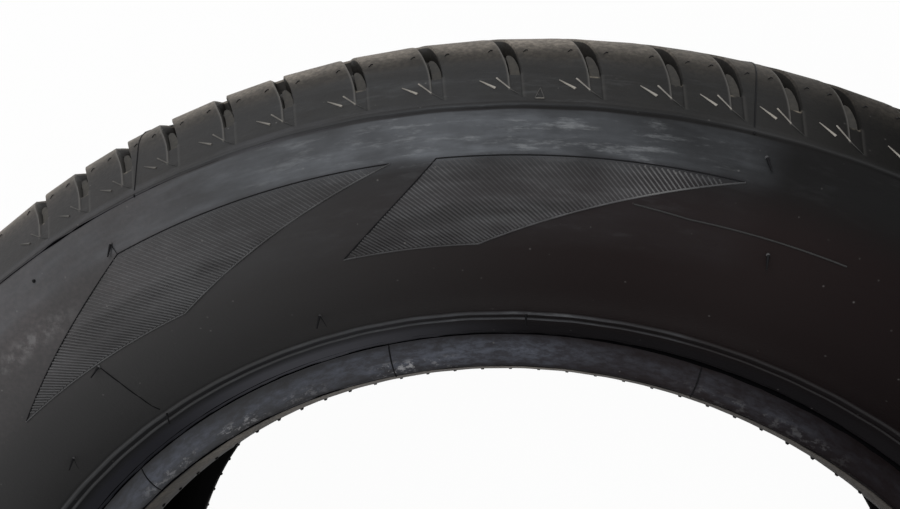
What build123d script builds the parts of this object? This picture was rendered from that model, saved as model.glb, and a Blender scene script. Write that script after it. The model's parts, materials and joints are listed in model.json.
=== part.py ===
"""A car tyre lying on its side, moulded in one piece. Millimetres, +Z up along the axle line.

The section is turned round the axle line, then the shoulder slots are cut. Round stretches of
the section are taken as a few straight chords, so that the whole part stays light.
"""
import os
from math import asin, cos, degrees, radians, sin, sqrt

from build123d import *

# Overall size, a 225/55 R16. The origin is the middle of the tyre, on the axle line.
OUTER_DIAMETER = 654.0
SECTION_WIDTH = 233.0
BEAD_BORE = 402.0

# Tread: a wide crown arc, a tighter shoulder arc and a straight shoulder wall
CROWN_RADIUS = 600.0
CROWN_HALF_WIDTH = 80.0
SHOULDER_RADIUS = 26.0
SHOULDER_TURN = 43.0
TREAD_THICKNESS = 14.0
GROOVE_DEPTH = 7.5
GROOVE_WIDTH = 10.0
GROOVE_TAPER = 1.2
GROOVE_PLACE = 46.0

# Shoulder slots, set out in short, medium and long pitches so that the tread doesn't hum
PITCH_UNIT = "SSSMMLLLLLSSSMMLLLLLLMMLLLLL"
PITCH_WEIGHT = {"S": 0.73, "M": 0.855, "L": 1.0}
PITCH_REPEATS = 3
FIRST_SLOT_ANGLE = 125.0
FAR_SIDE_TURN = 2.0
SLOT_WIDTH = 6.0
SLOT_START = 66.0
SLOT_BEND = 28.0
SLOT_RUN = 13.0

# Sidewall and bead: places are (radius, height above the middle)
PARTING_LINE = (297.5, 112.9)
WIDEST = (270.0, SECTION_WIDTH / 2)
RIM_LINE = (228.8, 90.0)
WALL_CHORDS = 3
WALL_THICKNESS = 7.0
CREASE = (218.4, 78.0)
LIP_RADIUS = 205.7
SEAT_TOP = 69.0
TOE = 60.0
LINER_FOOT = (220.0, 67.0)
LINER_EDGE = 80.0

OUTER = OUTER_DIAMETER / 2
BORE = BEAD_BORE / 2
LINER = OUTER - TREAD_THICKNESS


def on_crown(z, depth=0.0):
    """A point (r, z) on the crown arc, sunk by depth."""
    return (OUTER - CROWN_RADIUS + sqrt(CROWN_RADIUS**2 - z**2) - depth, z)


def on_shoulder(angle):
    """A point (r, z) on the shoulder arc, at an angle from the radial line."""
    start = asin(CROWN_HALF_WIDTH / CROWN_RADIUS)
    edge_r, edge_z = on_crown(CROWN_HALF_WIDTH)
    return (
        edge_r + SHOULDER_RADIUS * (cos(radians(angle)) - cos(start)),
        edge_z + SHOULDER_RADIUS * (sin(radians(angle)) - sin(start)),
    )


def on_shoulder_wall(run):
    """A point (r, z) on the straight wall, run along it from the end of the shoulder arc."""
    r, z = on_shoulder(SHOULDER_TURN)
    return (r - run * sin(radians(SHOULDER_TURN)), z + run * cos(radians(SHOULDER_TURN)))


def tread_points():
    """The tread from its middle to the parting line, with one round groove."""
    near = GROOVE_PLACE - GROOVE_WIDTH / 2
    far = GROOVE_PLACE + GROOVE_WIDTH / 2
    return [
        (OUTER, near),
        on_crown(near + GROOVE_TAPER, GROOVE_DEPTH),
        on_crown(far - GROOVE_TAPER, GROOVE_DEPTH),
        on_crown(far),
        on_crown(SLOT_START),
        on_shoulder(SLOT_BEND),
        on_shoulder_wall(SLOT_RUN),
        PARTING_LINE,
    ]


def sidewall_points():
    """Over the widest place and down the lower wall, in equal turns of one arc, to the crease."""
    width = WIDEST[0] - RIM_LINE[0]
    drop = WIDEST[1] - RIM_LINE[1]
    radius = (width**2 + drop**2) / (2 * drop)
    turn = asin(width / radius) / WALL_CHORDS
    wall = [
        (WIDEST[0] - radius * sin(turn * step), WIDEST[1] - radius * (1 - cos(turn * step)))
        for step in range(WALL_CHORDS)
    ]
    return [*wall, RIM_LINE, CREASE]


def bead_and_liner_points():
    """The bead's face, slanted heel, round seat and toe, then the hollow inside up to the tread."""
    return [
        (LIP_RADIUS, CREASE[1]),
        (BORE, SEAT_TOP),
        (BORE, TOE),
        LINER_FOOT,
        (WIDEST[0], WIDEST[1] - WALL_THICKNESS),
        (LINER, LINER_EDGE),
    ]


def tyre_section():
    """The whole section in a plane through the axle line, one half mirrored to give the other."""
    half = [*tread_points(), *sidewall_points(), *bead_and_liner_points()]
    other = [(r, -z) for r, z in reversed(half)]
    return Plane.XZ * make_face(Polyline(*half, *other, close=True))


def slot_cutter():
    """One slot over the shoulder: its straight floor is deep under the bend and runs out at both ends."""
    top = on_crown(SLOT_START)
    foot = on_shoulder_wall(SLOT_RUN)
    clear = 2 * OUTER - LINER
    section = make_face(Polyline(top, foot, (clear, foot[1]), (clear, top[1]), close=True))
    mouth = degrees(SLOT_WIDTH / OUTER)
    return Rot(Z=-mouth / 2) * revolve(Plane.XZ * section, Axis.Z, mouth)


def slot_angles():
    """Angles of the slots round the tyre, from the run of pitches."""
    run = PITCH_UNIT * round(PITCH_REPEATS)
    long_pitch = 360 / sum(PITCH_WEIGHT[pitch] for pitch in run)
    angle = FIRST_SLOT_ANGLE
    angles = []
    for pitch in run:
        angles.append(angle)
        angle -= PITCH_WEIGHT[pitch] * long_pitch
    return angles


def build_tyre():
    """The turned body with a row of slots over each shoulder, the far row turned a little."""
    body = revolve(tyre_section(), Axis.Z)
    near = slot_cutter()
    far = mirror(near, about=Plane.XY)
    cutters = [Rot(Z=angle) * near for angle in slot_angles()]
    cutters += [Rot(Z=angle + FAR_SIDE_TURN) * far for angle in slot_angles()]
    return body - cutters


tyre = build_tyre()
print("volume in cubic centimetres:", round(tyre.volume / 1000))
os.makedirs("parts", exist_ok=True)
export_step(tyre, "parts/tyre.step")
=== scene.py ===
# %% [markdown]
# # A car tyre off its wheel
# The part is one moulded piece of rubber, lying flat with one sidewall up. The solid has its section,
# its two grooves and the cuts in both tread edges. This script gives the same body its rounded skin,
# the small ridges that a mould leaves, and the dust and chalk of a tyre that has stood in a store,
# with some light and shade painted into the rubber's colour as well.

import json
from math import atan2, cos, degrees, hypot, pi, radians, sin, sqrt
from types import SimpleNamespace

import bmesh
import bpy
from mathutils import Matrix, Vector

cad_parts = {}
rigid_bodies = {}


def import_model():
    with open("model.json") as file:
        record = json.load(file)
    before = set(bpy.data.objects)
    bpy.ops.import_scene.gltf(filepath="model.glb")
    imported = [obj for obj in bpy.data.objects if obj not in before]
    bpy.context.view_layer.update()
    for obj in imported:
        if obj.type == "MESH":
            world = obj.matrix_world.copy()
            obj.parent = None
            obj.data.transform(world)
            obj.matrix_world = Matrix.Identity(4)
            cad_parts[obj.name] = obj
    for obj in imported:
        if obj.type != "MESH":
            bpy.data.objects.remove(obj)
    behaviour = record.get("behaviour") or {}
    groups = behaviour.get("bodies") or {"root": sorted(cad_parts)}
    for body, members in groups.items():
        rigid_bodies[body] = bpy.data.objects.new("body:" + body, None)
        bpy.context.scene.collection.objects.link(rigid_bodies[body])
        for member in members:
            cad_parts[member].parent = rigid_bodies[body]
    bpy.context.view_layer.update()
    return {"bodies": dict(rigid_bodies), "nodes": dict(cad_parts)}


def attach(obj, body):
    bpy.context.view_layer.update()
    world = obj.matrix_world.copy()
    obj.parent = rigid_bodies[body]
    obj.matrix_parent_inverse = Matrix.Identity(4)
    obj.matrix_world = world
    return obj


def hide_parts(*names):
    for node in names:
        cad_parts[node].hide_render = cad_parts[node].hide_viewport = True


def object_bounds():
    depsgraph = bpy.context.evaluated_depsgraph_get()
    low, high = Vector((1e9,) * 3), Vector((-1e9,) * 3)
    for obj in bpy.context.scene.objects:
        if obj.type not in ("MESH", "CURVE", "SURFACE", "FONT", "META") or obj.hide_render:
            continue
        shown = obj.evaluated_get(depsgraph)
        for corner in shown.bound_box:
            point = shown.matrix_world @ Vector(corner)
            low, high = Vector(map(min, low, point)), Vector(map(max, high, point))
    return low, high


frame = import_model()
BODY = next(iter(frame["bodies"]))
NODE = next(iter(frame["nodes"]))
MM = 0.001

# %% [markdown]
# ## The section
# A tyre is a body of revolution, so one outline says most of it. The tread is a flat arc, the shoulder a
# small arc that ends on a straight wall, and the wall meets the sidewall where the halves of the mould
# close. The outline could be drawn by hand, but arcs that are worked out from a few measures stay true
# when a measure changes. Distances are in millimetres: r from the axle and z from the middle plane.

# %% Measures of the section
TOP_RADIUS = 327.0
CROWN_RADIUS = 600.0
CROWN_EDGE = 80.0
SHOULDER_RADIUS = 26.0
SHOULDER_START = degrees(atan2(CROWN_EDGE, CROWN_RADIUS))
SHOULDER_END = 43.0
PARTING = (297.5, 112.9)
WIDEST = (270.0, 116.5)
UPPER_ARC = 106.8
LOWER_ARC = 45.3


def on_crown(z):
    """Point of the tread's arc at that height."""
    return TOP_RADIUS - CROWN_RADIUS + sqrt(CROWN_RADIUS**2 - z * z), z


def on_shoulder(angle):
    """Point of the shoulder's arc. Angle 0 points away from the axle."""
    edge_r, edge_z = on_crown(CROWN_EDGE)
    first = radians(SHOULDER_START)
    middle = (edge_r - SHOULDER_RADIUS * cos(first), edge_z - SHOULDER_RADIUS * sin(first))
    turn = radians(angle)
    return middle[0] + SHOULDER_RADIUS * cos(turn), middle[1] + SHOULDER_RADIUS * sin(turn)


def on_wall(run):
    """Point of the straight wall below the shoulder, that far along it."""
    r, z = on_shoulder(SHOULDER_END)
    turn = radians(SHOULDER_END)
    return r - run * sin(turn), z + run * cos(turn)


def side_height(r):
    """Height of the sidewall at that radius: two arcs that meet where the tyre is widest."""
    bend = UPPER_ARC if r >= WIDEST[0] else LOWER_ARC
    return WIDEST[1] - bend + sqrt(bend**2 - (r - WIDEST[0]) ** 2)


WALL_RUN = (on_shoulder(SHOULDER_END)[0] - PARTING[0]) / sin(radians(SHOULDER_END))
SHOULDER_RUN = SHOULDER_RADIUS * radians(SHOULDER_END - SHOULDER_START)
print("wall runs", round(WALL_RUN, 1), "mm below a shoulder of", round(SHOULDER_RUN, 1), "mm")

# %% Rows of the section
# Each row is a place and how much of each finish lies there, painted light and shade among them. The tread
# has (z, depth, dust), the shoulder (angle, dust); dust on the crown edge also paints the light along it.
# The sidewall has (r, bloom), a chalky film that also paints sheen. A rib is 1 on its top, painted highlight,
# and -1 in the valley beside it, painted shade; cove is painted shade in hollows. Rows off the shoulder
# have a run that no cut reaches.
ZONES = ("dust", "bloom", "chalk_and_sheen", "cove", "inner", "cut", "low", "ledge", "rib")
ON_TREAD, PAST_WALL = -99.0, 30.0
TREAD_ROWS = ((0, 0, 0.6), (30, 0, 0.6), (40.3, 0, 0.6), (41, 0.4, 0.6), (42, 6.8, 0.9), (43, 7.5, 0.9),
              (49, 7.5, 0.9), (50, 6.8, 0.9), (51, 0.4, 0.8), (51.7, 0, 0.8))
EDGE_ROWS = (54.5, 56, 58, 62, 71, 80)
SHOULDER_ROWS = ((14, 1.5), (21, 1.4), (28, 1.1), (34, 0.8), (39, 0.5), (43, 0.35))
NEAR_WALL_ROWS = (3, 6.5, 8.2, 8.8, 9.5, 10.3, 14, 16, 16.7, 17.4, 18.1, 18.8, 19.5, 20.2, 20.9, 22.2)
FAR_WALL_ROWS = (3, 8.2, 8.8, 9.5, 10.3, 16, 17.5, 19, 20.5, 22.2)
# At the foot of the shoulder, cove is painted shade in the hollow, and the rib row is a painted highlight.
PARTING_ROWS = ((1.95, -1.6, dict(cove=0.35)), (1.0, -0.55, dict(bloom=0.25, rib=1.0)),
                (0.4, -0.65, dict(cove=0.5)), (-0.2, -0.35, dict(cove=0.5)))
SIDE_ROWS = ((PARTING[0] - 0.7, 0.7), (294.0, 1.0), (284.6, 1.0), (283.0, 0.5), (280.0, 0.1), (271.0, 0.1),
             (262.0, 0.1), (254.0, 0.0), (246.0, 0.0), (239.0, 0.0), (233.5, 0.0))
RIB_ROWS = ((230.3, 92.8, 0.0), (229.3, 91.0, -0.5), (228.5, 91.2, 1.0), (227.9, 90.6, 1.0),
            (227.5, 88.8, -1.0), (226.6, 87.9, -1.0), (226.0, 88.3, 1.0), (225.5, 87.8, 1.0),
            (225.2, 86.5, -1.0))
UPPER_RIB = 229.0
# On the bead, cove is painted shade in the hollow above it and under its lip, and the chalk numbers are chalk
# that also paints the sheen of the upper bead.
BEAD_ROWS = (
    (222.6, 83.2, dict(cove=1.0)), (220.4, 80.0, dict(cove=1.0)), (218.6, 77.9, dict(cove=1.0)),
    (217.6, 78.3, dict(chalk_and_sheen=0.35)), (215.6, 79.2, dict(chalk_and_sheen=0.95)), (213.0, 79.8, dict(chalk_and_sheen=1.35)),
    (210.2, 79.8, dict(chalk_and_sheen=1.2)), (207.8, 79.1, dict(chalk_and_sheen=0.65)), (206.5, 78.4, dict(chalk_and_sheen=0.4)),
    (206.2, 77.6, dict(cove=1.0)), (205.8, 77.25, dict(cove=0.8, dust=0.2)), (205.5, 76.9, dict(dust=1.5)),
    (204.9, 75.2, dict(dust=1.5)), (203.6, 71.6, dict(dust=1.3)), (202.6, 69.0, dict(dust=0.9)),
    (201.2, 61.0, dict(inner=0.8)), (202.0, 60.0, dict(inner=0.9)))
LINER_ROWS = ((212.0, 62.6), (220.0, 67.0), (238.0, 86.0), (256.0, 102.5), (272.0, 109.0), (288.0, 103.5),
              (304.0, 91.0), (312.5, 74.0), (313.0, 30.0))
# The lips of a cut fade in by angle over the shoulder. On the wall, finishes begin and end by run in mm.
LIP_START, LIP_FADE = 12, 20
LIP_END, DUST_END = 17, 5
LOW_LIP = (9, 20.5)
LEDGE = (8.5, 10)
print("finishes", *ZONES)


# %% Outline of one half
def half_outline(wall_rows):
    """Rows of one half, from the middle of the tread to the middle of the inside.

    A row holds r, z, the run along the shoulder, and how much of each finish lies on it."""
    rows = []

    def row(r, z, run=PAST_WALL, **zones):
        """Adds one row."""
        rows.append((r, z, run, [zones.get(name, 0.0) for name in ZONES]))

    for z, depth, dust in TREAD_ROWS:
        row(on_crown(z)[0] - depth, z, ON_TREAD, dust=dust)
    for z in EDGE_ROWS:
        row(*on_crown(z), z - CROWN_EDGE - SHOULDER_RUN, dust=1.5)
    for angle, dust in SHOULDER_ROWS:
        row(*on_shoulder(angle), SHOULDER_RADIUS * radians(angle - SHOULDER_END), dust=dust,
            cut=min(1.0, max(0.0, (angle - LIP_START) / LIP_FADE)))
    for run in wall_rows:
        row(*on_wall(run), run, dust=0.14 if run < DUST_END else 0.05, bloom=0.13, cut=float(run < LIP_END),
            low=float(LOW_LIP[0] < run < LOW_LIP[1]), ledge=float(LEDGE[0] < run < LEDGE[1]),
            cove=0.3 * (run > LOW_LIP[1]))
    for step_r, step_z, zones in PARTING_ROWS:
        row(PARTING[0] + step_r, PARTING[1] + step_z, **zones)
    for r, bloom in SIDE_ROWS:
        row(r, side_height(r), bloom=bloom)
    for r, z, rib in RIB_ROWS:
        row(r, z, cove=0.4 * (rib <= 0 and r < UPPER_RIB), bloom=max(rib, 0.0), rib=rib)
    for r, z, zones in BEAD_ROWS:
        row(r, z, **zones)
    for r, z in LINER_ROWS:
        row(r, z, inner=1.0)
    return rows


near = half_outline(NEAR_WALL_ROWS)
far = half_outline(FAR_WALL_ROWS)
print("rows", len(near), "and", len(far))

# %% [markdown]
# ## The cuts in the tread edge
# The cuts come in short, middle and long pitches, so that the tread hums on no single note. Each cut
# leans a little, and a low bar ties its walls together at the lower end. A Boolean could make the cuts,
# but it leaves ragged faces on a round shoulder. Instead every column of the skin carries its angle and
# its place across a cut, every row its run down the shoulder, and a node tree works out the depth.

# %% Where the cuts are
PITCH_UNIT = "SSSMMLLLLLSSSMMLLLLLLMMLLLLL"
PITCH_WEIGHT = {"S": 0.73, "M": 0.855, "L": 1.0}
PITCH_REPEATS = 3
LONG_PITCH = 360.0 / (PITCH_REPEATS * sum(PITCH_WEIGHT[letter] for letter in PITCH_UNIT))
FIRST_CUT = 125.0
FAR_SIDE_TURN = 2.0
SLOT_START = 56.0
LEAN = ((-40, 2.2), (-16, 1.35), (-9, 0.915), (-4, 0.60), (0, 0.39), (3.5, 0.22), (7, 0.09), (12, 0.0),
        (21, -0.15))
HALF_WIDTH = ((-40, 0.36), (-16, 0.42), (-9, 0.41), (-4, 0.42), (0, 0.393), (3.5, 0.375), (7, 0.366),
              (12, 0.34), (21, 0.366))
SIDES = ((1, 0.0), (-1, radians(FAR_SIDE_TURN)))
slot_angles = []
angle = FIRST_CUT
for letter in PITCH_UNIT * PITCH_REPEATS:
    slot_angles.append(angle)
    angle -= PITCH_WEIGHT[letter] * LONG_PITCH


def along(table, run):
    """Value of a table at that run, straight between its entries."""
    for (low, first), (high, second) in zip(table, table[1:]):
        if run <= high:
            return first + (second - first) * max(0.0, run - low) / (high - low)
    return table[-1][1]


print(len(slot_angles), "cuts a side, long pitch", round(LONG_PITCH, 3), "degrees")

# %% [markdown]
# ## Tools for node trees
# Node trees can be drawn in the editor, but a tree that a script builds can be read from top to bottom,
# and what repeats in it is a function. These functions add to the tree that is open on the bench, so a
# formula reads like arithmetic. One tree is opened, filled and closed before the next.


# %% Arithmetic in nodes
class Bench:
    """The node tree that the helpers add to, and what it is given."""

    tree = None
    given = None


def feed(socket, value):
    """Links a socket, or sets it where the value is plain."""
    if isinstance(value, bpy.types.NodeSocket):
        Bench.tree.links.new(value, socket)
    else:
        socket.default_value = value


def put(kind, inputs=(), **settings):
    """New node with its plain settings, and with what its inputs are fed, by name or by number."""
    made = Bench.tree.nodes.new(kind)
    for name, value in settings.items():
        setattr(made, name, value)
    for key, value in dict(inputs).items():
        feed(made.inputs[key], value)
    return made


def calc(operation, *values):
    """Arithmetic node on sockets or numbers."""
    return put("ShaderNodeMath", enumerate(values), operation=operation).outputs[0]


def times(first, *others):
    """Product of all values."""
    for other in others:
        first = calc("MULTIPLY", first, other)
    return first


def plus(first, *others):
    """Sum of all values."""
    for other in others:
        first = calc("ADD", first, other)
    return first


def minus(first, second):
    """Difference of two values."""
    return calc("SUBTRACT", first, second)


def scaled(value, factor, start):
    """The value times a factor, from a start."""
    return calc("MULTIPLY_ADD", value, factor, start)


def larger(first, second):
    """The larger of two values."""
    return calc("MAXIMUM", first, second)


def off(value, middle):
    """Distance of a value from a middle."""
    return calc("ABSOLUTE", minus(value, middle))


def length(x, y):
    """Length of a step in plan."""
    return calc("SQRT", plus(times(x, x), times(y, y)))


def steps(value, low, high, start=0.0, end=1.0):
    """Soft step from start to end as the value goes from low to high."""
    values = enumerate((value, low, high, start, end))
    return put("ShaderNodeMapRange", values, interpolation_type="SMOOTHSTEP").outputs[0]


def split(value):
    """The three numbers of a vector."""
    return put("ShaderNodeSeparateXYZ", {0: value}).outputs


def vector(*values):
    """Vector of three numbers."""
    return put("ShaderNodeCombineXYZ", enumerate(values)).outputs[0]


def polar(radius, turn, height):
    """Point at that radius, angle and height."""
    return vector(times(radius, calc("COSINE", turn)), times(radius, calc("SINE", turn)), height)


def noise(place, scale, detail=4.0, rough=0.6):
    """Noise value at that scale."""
    inputs = dict(Vector=place, Scale=scale, Detail=detail, Roughness=rough)
    return put("ShaderNodeTexNoise", inputs).outputs[0]


print("arithmetic is ready")


# %% Open a geometry tree, and grow a piece from it
def in_scene(name, data):
    """New object, linked to the scene."""
    made = bpy.data.objects.new(name, data)
    bpy.context.scene.collection.objects.link(made)
    return made


def edge_mesh(name, points, closed=True, **attributes):
    """Object of bare points joined by edges, with a number per point for each attribute."""
    mesh = bpy.data.meshes.new(name)
    edges = [(i, i + 1) for i in range(len(points) - 1)]
    if closed:
        edges.append((len(points) - 1, 0))
    mesh.from_pydata(points, edges, [])
    for key, values in attributes.items():
        mesh.attributes.new(key, "FLOAT", "POINT").data.foreach_set("value", values)
    return in_scene(name, mesh)


def seeds(angles=(0,)):
    """Seed object with a point for each angle, in degrees."""
    return edge_mesh("seed", [(0, 0, 0)] * len(angles), closed=False, turn=[radians(a) for a in angles])


def geometry_tree(name, **inputs):
    """Opens a tree with a geometry in and out, and a named value for each input."""
    Bench.tree = tree = bpy.data.node_groups.new(name, "GeometryNodeTree")
    tree.interface.new_socket("Geometry", in_out="INPUT", socket_type="NodeSocketGeometry")
    for key, value in inputs.items():
        kind = "NodeSocketFloat" if isinstance(value, float) else "NodeSocketInt"
        kind = "NodeSocketObject" if isinstance(value, bpy.types.Object) else kind
        socket = tree.interface.new_socket(key, in_out="INPUT", socket_type=kind)
        if kind != "NodeSocketObject":
            socket.default_value = value
    tree.interface.new_socket("Geometry", in_out="OUTPUT", socket_type="NodeSocketGeometry")
    Bench.given = put("NodeGroupInput").outputs
    return Bench.given


def close_tree(shape, material, smooth):
    """Ends a tree: real geometry, smooth faces, one material."""
    real = put("GeometryNodeRealizeInstances", {0: shape}).outputs[0]
    soft = put("GeometryNodeSetShadeSmooth", {"Geometry": real, "Shade Smooth": smooth}).outputs[0]
    paint = put("GeometryNodeSetMaterial", dict(Geometry=soft, Material=material)).outputs[0]
    put("NodeGroupOutput", {0: paint})


def grow(seed, name, sharp, inputs):
    """Runs the tree on a seed object and leaves one plain mesh of that name."""
    modifier = seed.modifiers.new("shape", "NODES")
    modifier.node_group = Bench.tree
    for item in Bench.tree.interface.items_tree:
        if item.in_out == "INPUT" and item.name in inputs:
            modifier[item.identifier] = inputs[item.name]
    graph = bpy.context.evaluated_depsgraph_get()
    mesh = bpy.data.meshes.new_from_object(seed.evaluated_get(graph))
    mesh.name = name
    bpy.data.objects.remove(seed)
    if sharp:
        mesh.set_sharp_from_angle(angle=radians(sharp))
    shape = bmesh.new()
    shape.from_mesh(mesh)
    open_edges = sum(not edge.is_manifold for edge in shape.edges)
    triangles = sum(len(face.verts) - 2 for face in shape.faces)
    volume = round(shape.calc_volume(signed=True) * 1e6, 2)
    print(name, triangles, "triangles,", open_edges, "open edges, volume", volume, "cm3")
    shape.free()
    return in_scene(name, mesh)


def piece(name, shape, material, seed=None, smooth=True, sharp=None, **inputs):
    """Closes the tree and makes its piece, which rides on the tyre and takes its finish."""
    close_tree(shape, material, smooth)
    made = grow(seed or seeds(), name, sharp, inputs)
    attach(made, BODY)
    return made


print("pieces will ride on", BODY)

# %% [markdown]
# ## Rubber, dust and chalk
# Tyre rubber is nearly black and dull. What gives it tone is what lies on it: brown dust on the tread
# edge, which also paints the light along that edge, a bluish chalk wiped along the band under the
# shoulder, which also paints its sheen, a paler bead whose chalk also paints its sheen, and specks
# everywhere. An image could show that, but it would blur from close by. Noise that reads the place on the
# tyre stays sharp and stays put. Each kind of mark is a group, built once, that any material can take.


# %% Helpers for the marks
def mix(factor, first, second):
    """Blend of two colours."""
    return put("ShaderNodeMix", {0: factor, 6: first, 7: second}, data_type="RGBA").outputs[2]


def on_tyre():
    """A point's object coordinates, its radius and turn, and its side: -1 at the left end, 1 at the right."""
    place = put("ShaderNodeTexCoord").outputs["Object"]
    x, y, z = split(place)
    radius = length(x, y)
    return SimpleNamespace(place=place, x=x, y=y, z=z, radius=radius, side=calc("DIVIDE", x, radius),
                           turn=calc("ARCTAN2", y, times(x, -1.0)))


def streaks(at, along_ring, across):
    """Coordinates stretched along the ring."""
    return vector(times(at.turn, along_ring), times(at.radius, across), times(at.z, across))


def mark_group(name, tint):
    """Opens a shader group that lays a tint over a colour. Returns its inputs."""
    Bench.tree = tree = bpy.data.node_groups.new(name, "ShaderNodeTree")
    for key, kind in (("Color", "NodeSocketColor"), (tint, "NodeSocketColor"), ("Amount", "NodeSocketFloat")):
        tree.interface.new_socket(key, in_out="INPUT", socket_type=kind)
    tree.interface.new_socket("Color", in_out="OUTPUT", socket_type="NodeSocketColor")
    return put("NodeGroupInput").outputs


def end_group(given, cover):
    """Closes the group: the tint covers the colour as far as the cover and the amount say."""
    put("NodeGroupOutput", {0: mix(times(cover, given["Amount"]), given[0], given[1])})
    print("group", Bench.tree.name)
    return Bench.tree


def use(group, color, tint, amount):
    """One of the mark groups on a colour."""
    return put("ShaderNodeGroup", enumerate((color, tint, amount)), node_tree=group).outputs[0]


print("marks read object coordinates")

# %% Groups for the marks
given = mark_group("dust_film", "Dust")
at = on_tyre()
cloud = steps(noise(at.place, 34.0, 6.0), 0.25, 0.75, 0.35, 1.0)
grain = steps(noise(at.place, 620.0, 3.0), 0.3, 0.75, 0.45, 1.0)
DUST_FILM = end_group(given, times(cloud, grain))

given = mark_group("chalk_wipe", "Chalk")
at = on_tyre()
wipes = steps(noise(streaks(at, 4.0, 70.0), 3.0, 6.0), 0.40, 0.75)
clouds = steps(noise(at.place, 18.0, 5.0), 0.1, 0.85)
CHALK_WIPE = end_group(given, plus(times(wipes, 0.5), clouds))

given = mark_group("specks", "Speck")
cells = put("ShaderNodeTexVoronoi", dict(Vector=on_tyre().place, Scale=330.0)).outputs
pick = put("ShaderNodeSeparateColor", {0: cells["Color"]}).outputs[0]
dots = steps(cells["Distance"], 0.05, 0.16, 1.0, 0.0)
SPECKS = end_group(given, times(dots, steps(pick, 0.86, 0.99)))

# Scuffs come in patches along the lower part of the bead, each with its middle, half width and strength.
SCUFF_PATCHES = ((0.83, 0.10, 0.5), (1.0, 0.07, 0.9), (1.13, 0.06, 0.35), (1.312, 0.058, 1.2),
                 (1.392, 0.04, 0.5), (1.95, 0.2, 0.16), (-1.2, 0.1, 0.8))
SCUFF_FOOT = (0.2085, 0.2125)
given = mark_group("bead_scuffs", "Scuff")
at = on_tyre()
flakes = steps(noise(streaks(at, 60.0, 420.0), 1.0, 6.0, 0.7), 0.51, 0.60)
patches = plus(*(steps(off(at.turn, middle), half * 0.4, half, much, 0.0)
                 for middle, half, much in SCUFF_PATCHES))
SCUFFS = end_group(given, times(flakes, patches, steps(at.radius, *SCUFF_FOOT, 1.0, 0.0), 0.8))

# %% [markdown]
# ## Two hatched panels
# The mould was cut with a fine hatch in pairs of wedge-shaped panels. Chalk lies in the hatch, so the
# rubber has to know where the panels are as well as the ridges do. A painted mask could tell it, but one
# formula for the slanting edges serves both, so the chalk and the ridges can't drift apart.

# %% Outline of the hatched panels
PANEL_FOOT, PANEL_TOP = 0.2556, 0.2831
PANELS = {"a": (134.1, 120.06, 117.82, 100.34, 0.55), "b": (104.85, 97.38, 95.02, 78.45, 0.4)}
PAIRS = 3


def hump(part):
    """Bow of a line: 0 at both its ends and -1 in its middle."""
    return times(part, minus(1.0, part), -4.0)


def edge_turn(radius, foot, top, bow):
    """Angle of a panel's slanting edge at a radius. The angles given are in degrees."""
    part = calc("DIVIDE", minus(radius, PANEL_FOOT), PANEL_TOP - PANEL_FOOT)
    return calc("RADIANS", scaled(hump(part), bow, scaled(part, minus(top, foot), foot)))


def in_panels(at):
    """1 inside a hatched panel and 0 outside. The far side has the panels turned over."""
    phi = calc("ARCTAN2", times(at.y, calc("SIGN", at.z)), at.x)
    share = 2 * pi / PAIRS
    third = plus(calc("FLOORED_MODULO", minus(phi, share / 2), share), share / 2)
    inside = 0.0
    for left_foot, left_top, right_foot, right_top, bow in PANELS.values():
        left = calc("LESS_THAN", third, edge_turn(at.radius, left_foot, left_top, bow))
        right = calc("GREATER_THAN", third, edge_turn(at.radius, right_foot, right_top, 0.0))
        inside = larger(inside, times(left, right))
    return times(inside, calc("GREATER_THAN", at.radius, PANEL_FOOT), calc("LESS_THAN", at.radius, PANEL_TOP))


print("panels lie between radii", PANEL_FOOT, "and", PANEL_TOP)

# %% [markdown]
# ## Rubber of the skin
# A stored tyre isn't evenly black: the end that was handled is grey and dusty, the band under the shoulder
# is chalky, and the cuts hold brown dust. Light and shade are painted in as well: a darker, redder right end
# as painted shadow, painted shade in the cuts, hollows and rib valleys, painted light on the crown edge, and
# painted sheen on the band, the bead and the rib tops. It could be painted by hand, but paint has to be done
# again when a row moves. Instead each finish is a number on the rows of the section, and the material blends
# its colour by that number, by noise, and by the side: -1 at the left end of the tyre, 1 at the right.

# %% Rubber of the bare wall
GLOSS = 0.06
SHOULDER_FOOT = (0.296, 0.300)
WIPE_TURN, WIPE_RADIUS = 0.885, 0.2745
WALL_WARM = (0.0145, 0.0104, 0.0104, 1)
WALL_PAINTED_SHADOW = (0.0062, 0.0038, 0.0040, 1)
WALL_UPPER = (0.0088, 0.0085, 0.0086, 1)
WALL_HANDLED = (0.051, 0.0506, 0.0512, 1)
WALL_DUST = (0.100, 0.090, 0.091, 1)
WALL_WIPED = (0.185, 0.18, 0.182, 1)
TREAD_GREY = (0.0165, 0.0163, 0.0160, 1)
TREAD_PAINTED_SHADOW = (0.0030, 0.0029, 0.0029, 1)
CHALK_HATCH = (0.150, 0.152, 0.157, 1)


def rubber(name, base, rough, gloss=GLOSS):
    """Opens a material with a plain rubber base. Returns it and the inputs of its shader."""
    made = bpy.data.materials.new(name)
    made.use_nodes = True
    Bench.tree = made.node_tree
    inputs = Bench.tree.nodes["Principled BSDF"].inputs
    for key, value in (("Base Color", (*base, 1)), ("Roughness", rough), ("Specular IOR Level", gloss)):
        feed(inputs[key], value)
    return made, inputs


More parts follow.
